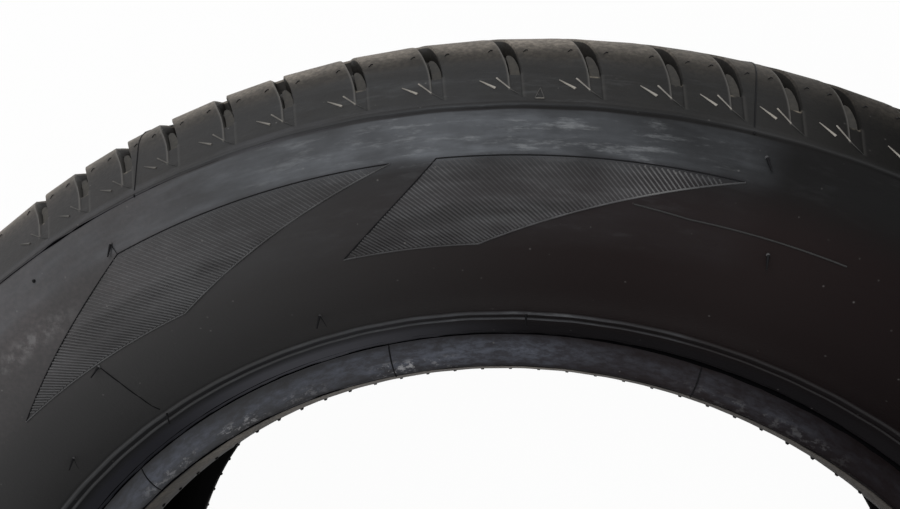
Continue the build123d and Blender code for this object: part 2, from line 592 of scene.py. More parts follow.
def wall_color(at):
    """Colour of the bare wall: clean black rubber, grey and dusty towards one end, painted shadow at the
    other.
    """
    side, radius = at.side, at.radius
    # Towards the right end the wall and the shoulder foot are painted darker and redder: painted shadow over
    # that end.
    bare_and_shadowed = mix(steps(side, 0.2, 0.55), WALL_WARM, WALL_PAINTED_SHADOW)
    bare_and_shadowed = mix(steps(radius, 0.270, 0.288), bare_and_shadowed, WALL_UPPER)
    bare_and_shadowed = mix(steps(radius, *SHOULDER_FOOT), bare_and_shadowed, mix(steps(side, 0.24, 0.42), TREAD_GREY, TREAD_PAINTED_SHADOW))
    handled = times(steps(side, -0.62, 0.12, 1.0, 0.0), steps(radius, *SHOULDER_FOOT, 1.0, 0.44))
    dusty = times(steps(side, -0.66, -0.30, 1.0, 0.0), steps(radius, 0.246, 0.276),
                  steps(radius, *SHOULDER_FOOT, 0.9, 0.25))
    color = use(DUST_FILM, mix(handled, bare_and_shadowed, WALL_HANDLED), WALL_DUST, dusty)
    wiped = times(steps(off(at.turn, WIPE_TURN), 0.02, 0.10, 1.0, 0.0),
                  steps(off(radius, WIPE_RADIUS), 0.0005, 0.0055, 1.0, 0.0),
                  steps(noise(at.place, 190.0, 6.0, 0.7), 0.44, 0.64), calc("GREATER_THAN", at.z, 0.0), 0.6)
    return mix(wiped, color, WALL_WIPED)


def hatch_chalk(at, color, amount):
    """Chalk caught in the hatch, thinner towards both ends of the tyre."""
    chalky = times(steps(at.side, -0.6, -0.1, 0.55, 0.8), steps(at.side, 0.18, 0.45, 1.0, 0.25))
    return use(CHALK_WIPE, color, CHALK_HATCH, times(chalky, amount))


print("bare rubber runs from", WALL_PAINTED_SHADOW[0], "to", WALL_HANDLED[0])

# %% Skin: wall, cove and inside
COVE_END = (0.030, 0.0305, 0.037, 1)
COVE_PALE = (0.095, 0.096, 0.109, 1)
COVE_PAINTED_SHADE = (0.0100, 0.0090, 0.0100, 1)
INSIDE_BLACK = (0.012, 0.012, 0.0125, 1)


def carried(name):
    """Number that the mesh carries, for a shader."""
    return put("ShaderNodeAttribute", attribute_type="GEOMETRY", attribute_name=name).outputs["Fac"]


skin, skin_inputs = rubber("tyre_skin_rubber", (0.016, 0.0152, 0.0155), 0.58)
at = on_tyre()
side, radius = at.side, at.radius
caught = times(in_panels(at), steps(side, -0.2, 0.0, 0.2, 0.36), steps(side, 0.04, 0.2, 1.0, 0.1))
color = hatch_chalk(at, wall_color(at), caught)
# The cove colour is painted shade in hollows: darkest towards the right, paler and bluish towards the left.
cove = mix(steps(side, -0.68, -0.42), COVE_END, COVE_PALE)
cove = mix(steps(side, -0.42, 0.0), cove, COVE_PAINTED_SHADE)
broken = times(steps(noise(streaks(at, 9.0, 0.0), 1.0, 5.0), 0.38, 0.62, 0.12, 0.9),
               steps(side, 0.1, 0.2, 1.0, 0.5))
broken = larger(broken, steps(radius, 0.26, 0.28, 1.0, 0.0))
color = mix(times(carried("cove"), broken), color, cove)
color = mix(carried("inner"), color, INSIDE_BLACK)
print("material", skin.name)

# %% Skin: chalk
CHALK_AND_SHEEN_BLUE = (0.150, 0.160, 0.176, 1)
CHALK_AND_SHEEN_BEAD = (0.098, 0.106, 0.130, 1)
SMEAR_WHITE = (0.24, 0.25, 0.262, 1)
RIB_PAINTED_HIGHLIGHT = (0.130, 0.130, 0.134, 1)
VALLEY_PAINTED_SHADE = (0.012, 0.012, 0.0125, 1)

# The band under the shoulder has chalk that also paints its sheen, fading towards the right, and a few
# white smears lie along it.
band_chalk_and_sheen = times(steps(side, -0.10, 0.12, 1.0, 0.44), steps(side, 0.18, 0.245, 1.0, 0.04),
               steps(side, -0.62, -0.05, 0.38, 1.0))
color = use(CHALK_WIPE, color, CHALK_AND_SHEEN_BLUE, times(carried("bloom"), band_chalk_and_sheen, 0.8))
smear = times(steps(noise(streaks(at, 16.0, 260.0), 1.0, 6.0, 0.7), 0.52, 0.70), steps(side, -0.45, -0.1),
              steps(side, 0.0, 0.25, 0.6, 0.02), carried("bloom"))
color = mix(smear, color, SMEAR_WHITE)

# The bead's chalk is mottled and also paints the sheen of the upper bead. The ribs have painted highlight on
# their tops and painted shade in their valleys.
mottle = times(steps(noise(streaks(at, 42.0, 480.0), 1.0, 6.0, 0.7), 0.36, 0.66, 0.5, 1.4),
               minus(steps(side, -0.06, 0.12, 0.68, 0.22), steps(side, 0.36, 0.52, 0.0, 0.15)))
color = use(CHALK_WIPE, color, CHALK_AND_SHEEN_BEAD, times(carried("chalk_and_sheen"), mottle))
rim_rib = times(steps(radius, 0.25, 0.27, 1.0, 0.0), steps(side, -0.5, -0.2, 1.0, 0.45))
foot_rib = times(steps(radius, 0.27, 0.29), steps(side, 0.12, 0.22, 0.0, 0.3))
rib = times(carried("rib"), plus(rim_rib, foot_rib))
color = mix(times(larger(rib, 0.0), 0.5), color, RIB_PAINTED_HIGHLIGHT)
color = mix(times(larger(times(rib, -1.0), 0.0), 0.75), color, VALLEY_PAINTED_SHADE)
print("chalk lies on the band, the bead and the ribs")

# %% Skin: dust, cuts and gloss
BROWN_DUST_AND_LIGHT = (0.150, 0.132, 0.112, 1)
PALE_DUST_AND_LIGHT = (0.250, 0.222, 0.190, 1)
DUST_CRUMBS = (0.34, 0.30, 0.24, 1)
PIT_PAINTED_SHADE = (0.012, 0.0117, 0.0114, 1)
LIP_PALE = (0.15, 0.145, 0.137, 1)
SCUFF_WHITE = (0.36, 0.36, 0.37, 1)
SPECK_WHITE = (0.30, 0.29, 0.28, 1)

# Dust is palest where it lies thick; on the crown edge it also paints the light along it. The cuts are
# painted black inside as painted shade, with pale lips and crumbs on the ledge.
dust = carried("dust")
bright = times(steps(side, -0.75, -0.25, 0.4, 1.0), steps(side, 0.06, 0.24, 1.0, 0.1))
thick = mix(times(steps(dust, 0.4, 1.3), bright), BROWN_DUST_AND_LIGHT, PALE_DUST_AND_LIGHT)
color = use(DUST_FILM, color, thick, times(dust, steps(side, 0.05, 0.20, 0.95, 0.48)))
color = mix(steps(carried("pit"), 0.11, 0.15, 0.0, 0.92), color, PIT_PAINTED_SHADE)
lip = carried("lip")
edge = plus(times(larger(lip, 0.0), carried("cut")), times(larger(times(lip, -1.0), 0.0), carried("low")))
color = mix(times(edge, 0.6), color, LIP_PALE)
crumbs = times(carried("ledge"), carried("sunk"), steps(noise(at.place, 210.0, 2.0), 0.44, 0.64))
color = use(DUST_FILM, color, DUST_CRUMBS, crumbs)
color = use(SCUFFS, color, SCUFF_WHITE, carried("chalk_and_sheen"))
color = use(SPECKS, color, SPECK_WHITE, 0.24)
feed(skin_inputs["Base Color"], color)

# The shoulder at the right is duller than the rest, and a fine grain breaks up the gloss.
gloss = larger(steps(radius, *SHOULDER_FOOT, 1.0, 0.2), steps(side, 0.2, 0.32, 1.0, 0.0))
feed(skin_inputs["Specular IOR Level"], times(gloss, steps(side, 0.2, 0.36, GLOSS, 0.045)))
bump = put("ShaderNodeBump", dict(Strength=0.25, Distance=0.0004, Height=noise(at.place, 900.0, 3.0)))
feed(skin_inputs["Normal"], bump.outputs[0])
print("skin has", len(Bench.tree.nodes), "nodes")

# %% Rubber of the raised marks
WORN_PALE = (0.16, 0.16, 0.16, 1)
STROKE_GREY = (0.045, 0.045, 0.045, 1)
STROKE_PALE_AND_HIGHLIGHT = (0.36, 0.345, 0.32, 1)
STROKE_DUST = (0.30, 0.26, 0.20, 1)
TAB_GREY = (0.034, 0.034, 0.034, 1)
TAB_DUST = (0.15, 0.135, 0.11, 1)
CREASE_SHADE_GLOSS = 0.02
ridge, inputs = rubber("raised_rubber", (0.03, 0.03, 0.031), 0.6)
at = on_tyre()
color = hatch_chalk(at, wall_color(at), 0.85)
worn = times(steps(at.side, 0.07, 0.11), steps(at.side, 0.12, 0.165, 1.0, 0.0), 0.8)
color = use(CHALK_WIPE, color, WORN_PALE, worn)
feed(inputs["Base Color"], use(SPECKS, color, SPECK_WHITE, 0.5))
stroke_rubber, inputs = rubber("stroke_rubber", (0.12, 0.118, 0.115), 0.6)
# Pale strokes are pale dust that also paints a highlight on them, less towards the left.
pale = times(carried("pale"), steps(on_tyre().side, -0.5, -0.05, 0.16, 1.0))
color = mix(pale, STROKE_GREY, STROKE_PALE_AND_HIGHLIGHT)
feed(inputs["Base Color"], use(DUST_FILM, color, STROKE_DUST, times(pale, 0.5)))
tab_rubber, inputs = rubber("tab_rubber", (0.06, 0.059, 0.058), 0.6)
feed(inputs["Base Color"], use(DUST_FILM, TAB_GREY, TAB_DUST, 0.35))
hair_rubber, _ = rubber("hair_rubber", (0.010, 0.010, 0.011), 0.5)
# The black of the broken lines round the tyre is painted shade in a gap and in creases.
crease_shade_rubber, _ = rubber("crease_shade_rubber", (0.002, 0.002, 0.0024), 0.9, CREASE_SHADE_GLOSS)
print("materials", ridge.name, stroke_rubber.name, tab_rubber.name, hair_rubber.name, crease_shade_rubber.name)

# %% [markdown]
# ## The skin
# The whole tyre is one skin of rubber. The Screw modifier could turn its section, but then all columns
# would be alike. Here the rail is a ring of columns and the section a closed row of points. Curve to
# Mesh weaves the two into a closed ring and carries their numbers along. The tree then puts each point
# where its numbers say and lowers those that lie in a cut. The depths are inputs, so they can be tuned.

# %% Rail and section as bare points
# A column is its place across the cut, how far it sinks, and how pale its lip is.
COLUMNS = ((1.5, 0, 0), (1.12, 0, 1), (0.95, 1, 0), (-0.84, 1, 0), (-0.92, 0.15, 0), (-1.12, 0, -0.2),
           (-1.6, 0, 0))
USUAL_HALF = 0.45
TREAD_HALF, TREAD_INSIDE = 86.0, 305.0
columns = [(radians(angle), *column) for angle in slot_angles for column in COLUMNS]
turns, across, sunk, lips = ([float(value) for value in values] for values in zip(*columns))
spots = [turn + radians(USUAL_HALF * place) for turn, place in zip(turns, across)]
rail = edge_mesh("rail", [(cos(t), sin(t), 0) for t in spots], turn=turns, across=across, sunk=sunk, lip=lips)

rows = near + [(r, -z, run, zones) for r, z, run, zones in reversed(far[1:])]
# Each row knows its way out of the rubber. Over the tread, the columns turn to the far side's angles.
out_r, out_z, shifts, widths = [], [], [], []
for i, (r, z, run, zones) in enumerate(rows):
    before, after = rows[i - 1], rows[(i + 1) % len(rows)]
    step = (after[0] - before[0], after[1] - before[1])
    out_r.append(step[1] / hypot(*step))
    out_z.append(-step[0] / hypot(*step))
    on_tread = r > TREAD_INSIDE and abs(z) < TREAD_HALF
    spread = (1 - z / TREAD_HALF) / 2 if on_tread else float(z < 0)
    shifts.append(radians(along(LEAN, run) + FAR_SIDE_TURN * spread))
    widths.append(radians(along(HALF_WIDTH, run)))
section = edge_mesh(
    "section", [(r * MM, z * MM, 0) for r, z, *_ in rows],
    sec_r=[row[0] * MM for row in rows], sec_z=[row[1] * MM for row in rows], run=[row[2] for row in rows],
    out_r=out_r, out_z=out_z, shift=shifts, half_width=widths,
    **{name: [row[3][i] for row in rows] for i, name in enumerate(ZONES)})
print(len(turns), "columns and", len(rows), "rows")


# %% Weave and sink the skin
# Below the deep part of a cut lies a shallow recess, which ends on a slanting foot.
RECESS = (8.2, 9.0)
FOOT_RUN, FOOT_LEAN, FOOT_FADE = 18.2, -2.1, 0.8
START_FADE = 3.5
SHARP_EDGE = 46


def named(name):
    """Number that a point carries under that name."""
    return put("GeometryNodeInputNamedAttribute", dict(Name=name), data_type="FLOAT").outputs["Attribute"]


def keep(shape, name, value):
    """Shape whose points carry a value under that name."""
    inputs = dict(Geometry=shape, Name=name, Value=value)
    return put("GeometryNodeStoreNamedAttribute", inputs, data_type="FLOAT", domain="POINT").outputs[0]


def moved(shape, position):
    """Shape with its points put at new positions."""
    return put("GeometryNodeSetPosition", dict(Geometry=shape, Position=position)).outputs[0]


def shape_of(socket):
    """Geometry of the object that a socket gives."""
    return put("GeometryNodeObjectInfo", dict(Object=socket)).outputs["Geometry"]


given = geometry_tree("tyre_skin", Section=section, Slot_depth=0.0058, Recess_depth=0.0004)
ring, profile = (put("GeometryNodeMeshToCurve", {0: shape}).outputs[0]
                 for shape in (given["Geometry"], shape_of(given["Section"])))
woven = put("GeometryNodeCurveToMesh", {"Curve": ring, "Profile Curve": profile}).outputs[0]
depth, recess = given["Slot_depth"], given["Recess_depth"]
run, place = named("run"), named("across")
start = SLOT_START - CROWN_EDGE - SHOULDER_RUN
foot = scaled(place, FOOT_LEAN, FOOT_RUN)
deep = minus(depth, times(steps(run, *RECESS), minus(depth, recess)))
deep = minus(deep, times(steps(run, foot, plus(foot, FOOT_FADE)), recess))
deep = times(deep, steps(run, start, start + START_FADE), named("sunk"))
turn = plus(named("turn"), named("shift"), times(place, named("half_width")))
sunk_place = polar(minus(named("sec_r"), times(deep, named("out_r"))), turn,
                   minus(named("sec_z"), times(deep, named("out_z"))))
# The share of the full depth is kept as pit, which the rubber uses to paint shade in the cuts.
pitted = keep(woven, "pit", calc("DIVIDE", deep, depth))
tyre = piece("tyre_skin", moved(pitted, sunk_place), skin, rail, sharp=SHARP_EDGE, Section=section)
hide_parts(NODE)
bpy.data.objects.remove(section)

# %% [markdown]
# ## Ridges of the panels
# The hatch could be bump in the material, but from close by its ridges have tops and sides, so they are
# real. A ridge is one straight line in plan. The tree lays a fan of such lines round the axle, drops
# every point outside the slanting edges of the panel, and lifts what is left onto the sidewall. The
# pair of panels comes three times round, and the other side has the same pairs turned over.

# %% Helpers for lines on the tyre
TUBE_SIDES = 4


def side_top(radius):
    """Height of the sidewall at a radius, as nodes."""
    lower = calc("LESS_THAN", radius, WIDEST[0] * MM)
    bend = scaled(lower, (LOWER_ARC - UPPER_ARC) * MM, UPPER_ARC * MM)
    from_widest = minus(radius, WIDEST[0] * MM)
    rise = calc("SQRT", minus(times(bend, bend), times(from_widest, from_widest)))
    return plus(minus(rise, bend), WIDEST[1] * MM)


def where():
    """Position of a point, split in three."""
    return split(put("GeometryNodeInputPosition").outputs[0])


def resampled(curve, points):
    """Curve with that many points, evenly spaced."""
    return put("GeometryNodeResampleCurve", dict(Curve=curve, Count=points)).outputs[0]


def line(start, end, points):
    """Straight curve with that many points."""
    return resampled(put("GeometryNodeCurvePrimitiveLine", dict(Start=start, End=end)).outputs[0], points)


def tube(curve, radius, by_curve=False):
    """Closed thin tube along a curve. It can follow the curve's own radius, as a share of the given one."""
    disc = put("GeometryNodeCurvePrimitiveCircle", dict(Resolution=TUBE_SIDES, Radius=radius)).outputs[0]
    made = put("GeometryNodeCurveToMesh", {"Curve": curve, "Profile Curve": disc, "Fill Caps": True})
    if by_curve:
        feed(made.inputs["Scale"], put("GeometryNodeInputRadius").outputs[0])
    return made.outputs[0]


def sized(curve, radius):
    """Curve with its own radius at each point."""
    return put("GeometryNodeSetCurveRadius", dict(Curve=curve, Radius=radius)).outputs[0]


def tapered(curve, start, end):
    """Curve whose tube grows from start to end along it."""
    return sized(curve, scaled(put("GeometryNodeSplineParameter").outputs["Factor"], end - start, start))


def joined(shapes):
    """All shapes as one."""
    made = put("GeometryNodeJoinGeometry")
    for shape in reversed(shapes):
        Bench.tree.links.new(shape, made.inputs[0])
    return made.outputs[0]


def placed(points, shape, turn, flip=0.0):
    """The shape at every point, turned about the axle. A flip of pi turns it over."""
    inputs = dict(Points=points, Instance=shape, Rotation=vector(flip, 0.0, turn))
    return put("GeometryNodeInstanceOnPoints", inputs).outputs[0]


def copies(shape, count, first=0.0, step=None, flip=0.0):
    """Copies of a shape turned about the axle, evenly round it unless a step is given."""
    points = put("GeometryNodePoints", dict(Count=count)).outputs[0]
    order = put("GeometryNodeInputIndex").outputs[0]
    if step is None:
        step = 2 * pi / count
    return placed(points, shape, scaled(order, step, first), flip)


def both_sides(shape, count, first=0.0, step=None):
    """The shape that many times round, and the same turned over."""
    return joined([copies(shape, count, first, step), copies(shape, count, first, step, pi)])


def at_seeds(shape, turn):
    """The shape at every point of the seed, turned by the angle it carries."""
    return placed(Bench.given["Geometry"], shape, plus(named("turn"), turn))


print("tubes have", TUBE_SIDES, "sides")

# %% Ridges of the panels
HATCH_STEP = {"a": 0.3575, "b": 0.346}
HATCH_LEAN = radians(44.8)
HATCH_LONG = 0.0405
HATCH_EXTRA = 6.2
FAN_POINTS, RIDGE_POINTS = 80, 6
TOP_MARGIN, SHORTEST = 0.0006, 0.0012
WORN_MIDDLE, WORN_HALF = 0.2745, 0.0085


def dropped(shape, domain, selection):
    """Shape without the points or curves that are selected."""
    inputs = dict(Geometry=shape, Selection=selection)
    return put("GeometryNodeDeleteGeometry", inputs, domain=domain).outputs[0]


for letter, (left_foot, left_top, right_foot, right_top, bow) in PANELS.items():
    step = HATCH_STEP[letter]
    given = geometry_tree(
        "hatch_" + letter, Left_foot=left_foot, Left_top=left_top, Right_foot=right_foot, Right_top=right_top,
        Bow=bow, Ridges=int((left_foot + HATCH_EXTRA - right_top) / step), Step=step, Ridge_radius=0.00036,
        Sunk=0.00005, Wear=0.0002)
    inner_end = (PANEL_TOP - HATCH_LONG * cos(HATCH_LEAN), -HATCH_LONG * sin(HATCH_LEAN), 0)
    one = line((PANEL_TOP, 0, 0), inner_end, FAN_POINTS)
    fan = copies(one, given["Ridges"], calc("RADIANS", given["Right_top"]), calc("RADIANS", given["Step"]))
    real = put("GeometryNodeRealizeInstances", {0: fan}).outputs[0]
    x, y, z = where()
    radius = length(x, y)
    turn = calc("ARCTAN2", y, x)
    outside = plus(
        calc("GREATER_THAN", turn, edge_turn(radius, given["Left_foot"], given["Left_top"], given["Bow"])),
        calc("LESS_THAN", turn, edge_turn(radius, given["Right_foot"], given["Right_top"], 0.0)),
        calc("LESS_THAN", radius, PANEL_FOOT), calc("GREATER_THAN", radius, PANEL_TOP - TOP_MARGIN))
    trimmed = dropped(real, "POINT", calc("GREATER_THAN", outside, 0.5))
    long_at = put("GeometryNodeSplineLength").outputs["Length"]
    trimmed = resampled(dropped(trimmed, "CURVE", calc("LESS_THAN", long_at, SHORTEST)), RIDGE_POINTS)
    from_middle = calc("DIVIDE", minus(radius, WORN_MIDDLE), WORN_HALF)
    worn_down = larger(minus(1.0, times(from_middle, from_middle)), 0.0)
    lifted = vector(x, y, minus(side_top(radius), scaled(worn_down, given["Wear"], given["Sunk"])))
    ridges = tube(moved(trimmed, lifted), given["Ridge_radius"])
    piece("hatch_ridges_" + letter, both_sides(ridges, PAIRS), ridge)

# %% Edges of the panels
# The upper and left edges are a small step down; a thin black tube paints the shade of that step. The
# lower edges are a low rib.


def ring_line(start, end, points, bow=0.0):
    """Line on the sidewall between two places given as (degrees, radius in mm)."""
    curve = line((*start, 0), (*end, 1), points)
    degrees_at, radius_at, part = where()
    radius = times(radius_at, MM)
    turn = calc("RADIANS", plus(degrees_at, times(hump(part), bow)))
    return moved(curve, polar(radius, turn, side_top(radius)))


FOOT, TOP = PANEL_FOOT / MM, PANEL_TOP / MM
for name, paint, size in (("panel_steps", hair_rubber, 0.00023), ("panel_ribs", ridge, 0.00032)):
    given = geometry_tree(name, Line_radius=size)
    lines = []
    for left_foot, left_top, right_foot, right_top, bow in PANELS.values():
        if name == "panel_steps":
            lines.append(ring_line((left_foot, FOOT), (left_top, TOP), 14, bow))
            lines.append(ring_line((left_top, TOP), (right_top, TOP), 30))
        else:
            lines.append(ring_line((left_foot, FOOT), (right_foot, FOOT), 24))
            lines.append(ring_line((right_foot, FOOT), (right_top, TOP), 20))
    piece(name, both_sides(tube(joined(lines), given["Line_radius"]), PAIRS), paint)

# %% Fine ridge at the widest place
RIDGE_LINE = ((84.8, 270.6), (81.2, 268.8), (71.0, 268.5))
given = geometry_tree("wall_ridge", Ridge_radius=0.00028)
lines = [ring_line(start, end, 12) for start, end in zip(RIDGE_LINE, RIDGE_LINE[1:])]
piece("wall_ridge", both_sides(tube(joined(lines), given["Ridge_radius"]), PAIRS), stroke_rubber)

# %% [markdown]
# ## Marks on the shoulder wall
# Beside every cut stand short slanting strokes and the small arcs that vents of the mould leave. They
# could be modelled once and arrayed, but the pitches differ. So a seed has one point for each cut, with
# its angle, and the tree puts the mark at every point. Small triangles show where the wear bars are. They
# stand evenly round the tyre, so the tree makes their points itself.

# %% Strokes beside the cuts
# A stroke has its two ends as (degrees, run in mm), its sizes there, and how pale it is along the way:
# pale dust that also paints a highlight on the stroke.
STROKES = (((2.14, 12.3), (1.16, 16.3), (0.45, 1.2), (0.5, 0.9, 1.0)),
           ((1.14, 11.3), (0.31, 16.6), (0.75, 0.65), (0.9, 0.1, 0.8)),
           ((0.31, 16.6), (-0.50, 20.5), (0.42, 0.16), (0.12, 0.0, 0.0)))
WALL_R, WALL_Z = on_wall(0)
WALL_TURN = radians(SHOULDER_END)


def wall_line(start, end, points, side):
    """Line on the shoulder wall between two places given as (degrees, run in mm)."""
    curve = line((*start, 0), (*end, 0), points)
    degrees_at, run_at = where()[:2]
    radius = scaled(run_at, -sin(WALL_TURN) * MM, WALL_R * MM)
    height = scaled(run_at, side * cos(WALL_TURN) * MM, side * WALL_Z * MM)
    return moved(curve, polar(radius, calc("RADIANS", degrees_at), height))


def paled(curve, first, middle, last):
    """Curve whose points carry how pale the rubber is, from its start over its middle to its end."""
    part = put("GeometryNodeSplineParameter").outputs["Factor"]
    rest = minus(1.0, part)
    shade = plus(times(part, rest, 2.0 * middle), times(rest, rest, first), times(part, part, last))
    return keep(curve, "pale", shade)


given = geometry_tree("shoulder_strokes", Stroke_radius=0.0004)
parts = []
for side, turn in SIDES:
    for start, end, (thin, thick), shades in STROKES:
        stroke = paled(tapered(wall_line(start, end, 4, side), thin, thick), *shades)
        parts.append(at_seeds(tube(stroke, given["Stroke_radius"], True), turn))
piece("shoulder_strokes", joined(parts), stroke_rubber, seeds(slot_angles))

# %% Small triangles that show where the wear bars are
WEAR_MARK = ((91.05, 16.4), (91.32, 21.2), (90.78, 21.2), (91.05, 16.4))
WEAR_SHADES = (0.05, 0.35, 0.05)
WEAR_MARKS = 6
given = geometry_tree("wear_marks", Line_radius=0.00022, Marks=WEAR_MARKS)
parts = []
for side in (1, -1):
    for start, end, shade in zip(WEAR_MARK, WEAR_MARK[1:], WEAR_SHADES):
        edge = paled(wall_line(start, end, 3, side), shade, shade, shade)
        parts.append(copies(tube(edge, given["Line_radius"]), given["Marks"], step=2 * pi / WEAR_MARKS))
piece("wear_marks", joined(parts), stroke_rubber)

# %% Small arcs left by the shoulder vents
VENT_ARCS = (((-0.36, -1.7), (-0.62, -2.7)), ((1.72, -2.1), (1.46, -3.0)))
given = geometry_tree("shoulder_vents", Line_radius=0.00015)
parts = []
for side, turn in SIDES:
    for start, end in VENT_ARCS:
        middle = ((start[0] + end[0]) / 2, min(start[1], end[1]) - 0.1)
        for first, last in ((start, middle), (middle, end)):
            parts.append(at_seeds(tube(wall_line(first, last, 2, side), given["Line_radius"]), turn))
piece("shoulder_vents", joined(parts), hair_rubber, seeds(slot_angles))

# %% [markdown]
# ## Tie bars
# A low bar of rubber with a rounded upper end joins the walls of each cut, a little under the surface, so
# that the blocks don't squirm. It could be one more step in the skin's depth, but its end is round where
# the columns are straight. So it is a small closed shape of its own, put in every cut.

# %% Tie bars in the cuts
# The outline is given across the cut and down the wall, and its rings by depth and by how far they draw in.
TAB = ((0.95, 8.8), (0.86, 6.5), (0.78, 3.5), (0.70, 0.8), (0.60, -0.9), (0.40, -1.9), (0.10, -2.3),
       (-0.25, -1.9), (-0.50, -0.8), (-0.68, 0.9), (-0.80, 2.9), (-0.88, 5.0), (-0.88, 8.8))
TAB_MIDDLE = (0.1, 6.0)
TAB_RINGS = ((6.5, 0.0), (1.7, 0.0), (1.4, 0.06))


def tab_mesh(name, side):
    """One tab in the cut at angle 0: a rounded top a little under the surface, walls down into the floor."""
    points = []
    for depth, inset in TAB_RINGS:
        for place, run in TAB:
            place, run = place + (TAB_MIDDLE[0] - place) * inset, run + (TAB_MIDDLE[1] - run) * inset
            r, z = on_wall(run) if run > 0 else on_shoulder(SHOULDER_END + degrees(run / SHOULDER_RADIUS))
            r, z = r - depth * cos(WALL_TURN), z - depth * sin(WALL_TURN)
            turn = radians(along(LEAN, run) + place * along(HALF_WIDTH, run))
            points.append((r * MM * cos(turn), r * MM * sin(turn), side * z * MM))
    size, last = len(TAB), len(TAB_RINGS) - 1
    faces = [[k * size + i, k * size + (i + 1) % size, (k + 1) * size + (i + 1) % size, (k + 1) * size + i]
             for k in range(last) for i in range(size)]
    faces += [list(range(size))[::-1], list(range(last * size, len(points)))]
    mesh = bpy.data.meshes.new(name)
    mesh.from_pydata(points, [], faces if side < 0 else [face[::-1] for face in faces])
    return in_scene(name, mesh)


tabs = {"Near_tab": tab_mesh("tab_near", 1), "Far_tab": tab_mesh("tab_far", -1)}
given = geometry_tree("tie_bars", **tabs)
parts = [at_seeds(shape_of(given[name]), turn) for name, (side, turn) in zip(tabs, SIDES)]
piece("tie_bars", joined(parts), tab_rubber, seeds(slot_angles), smooth=False, **tabs)
for tab in tabs.values():
    bpy.data.objects.remove(tab)

# %% [markdown]
# ## Seams and broken lines
# Fine seams cross the shoulder where the segments of the mould meet, and uneven black lines run round the
# tyre where its halves closed and where the bead has creased: painted shade in that gap and those creases.
# They could be drawn in the material, but thin tubes keep their edge at any distance. A seam follows the
# measures of the section, and a broken line is a ring that sways and thins out with a noise.

# %% Seams of the mould segments
SEAM_ANGLES = [78.66] + [117.45 + 40.15 * i for i in range(8)]
CROWN_REACH, CROWN_RISE = 22, 0.115
given = geometry_tree("segment_seams", Seam_radius=0.00028)
parts = []
for side, turn in SIDES:
    bend = line((-SHOULDER_RUN - CROWN_REACH, 0, 0), (WALL_RUN, 0, 0), 16)
    run = where()[0]
    down = larger(run, 0.0)
    flat = larger(minus(-SHOULDER_RUN, run), 0.0)
    on_arc = larger(calc("MINIMUM", run, 0.0), -SHOULDER_RUN)
    arc_turn = scaled(on_arc, 1 / SHOULDER_RADIUS, WALL_TURN)
    radius = scaled(calc("COSINE", arc_turn), SHOULDER_RADIUS, WALL_R - SHOULDER_RADIUS * cos(WALL_TURN))
    radius = scaled(flat, CROWN_RISE, scaled(down, -sin(WALL_TURN), radius))
    height = scaled(calc("SINE", arc_turn), SHOULDER_RADIUS, WALL_Z - SHOULDER_RADIUS * sin(WALL_TURN))
    height = minus(scaled(down, cos(WALL_TURN), height), flat)
    seam = moved(bend, polar(times(radius, MM), 0.0, times(height, side * MM)))
    parts.append(at_seeds(tube(seam, given["Seam_radius"]), turn))
piece("segment_seams", joined(parts), hair_rubber, seeds(SEAM_ANGLES))

# %% Broken lines round the tyre
# The mould closed with a hairline gap at the foot of the shoulder, and the bead has creased along the cove
# and under its lip; black tubes there are painted shade in the gap and the creases. The lines are uneven, so
# the tube's size follows a noise along the ring. A line has its place, how rough it is, the noise and size
# where it thins out, and its size at left, middle and right.
RINGS = ((297.6, 112.35, 22.0, (0.50, 0.70, 0.32), (1.7, 0.1, 0.1)),
         (218.2, 78.2, 26.0, (0.25, 0.6, 0.5), (1.0, 0.85, 3.3)),
         (219.6, 79.1, 19.0, (0.35, 0.6, 0.3), (0.8, 0.15, 0.15)),
         (206.1, 78.3, 14.0, (0.38, 0.6, 0.3), (1.4, 0.3, 0.3)))
RING_POINTS = 721
given = geometry_tree("ring_lines", Line_radius=0.00034, Wander=0.0005)
parts = []
for r, z, rough, (few, many, least), (left, middle, right) in RINGS:
    for side in (1, -1):
        circle = line((0, 0, 0), (2 * pi, 0, 0), RING_POINTS)
        turn = where()[0]
        patchy = noise(polar(rough, turn, 3.0 * side), 1.0, 2.0, 0.5)
        sway = times(minus(patchy, 0.5), given["Wander"])
        way = calc("COSINE", turn)
        grown = plus(steps(way, -0.6, -0.25, left, middle), steps(way, 0.0, 0.4, 0.0, right - middle))
        circle = sized(circle, times(steps(patchy, few, many, least, 1.0), grown))
        ring = moved(circle, polar(plus(r * MM, sway), turn, side * z * MM))
        parts.append(tube(ring, given["Line_radius"], True))
piece("ring_lines", joined(parts), crease_shade_rubber)

# %% [markdown]
# ## Vents of the sidewall
# Air leaves the mould through small holes and fine channels. Rubber creeps in after it, and comes out as
# thin lines, plugs and soft hairs that lie over. Hair particles would be lost in the export, so each is
# a short tapered tube. The vents are few and stand where they are seen, so they are listed one by one.

# %% Vent lines of the sidewall
VENT_LINE = ((126.22, 253.9), (126.15, 246.2), (126.37, 238.3), (126.98, 230.8))
given = geometry_tree("side_vents", Line_radius=0.00022)
lines = [tube(ring_line(start, end, 4), given["Line_radius"]) for start, end in zip(VENT_LINE, VENT_LINE[1:])]
piece("side_vents", both_sides(joined(lines), PAIRS), hair_rubber)

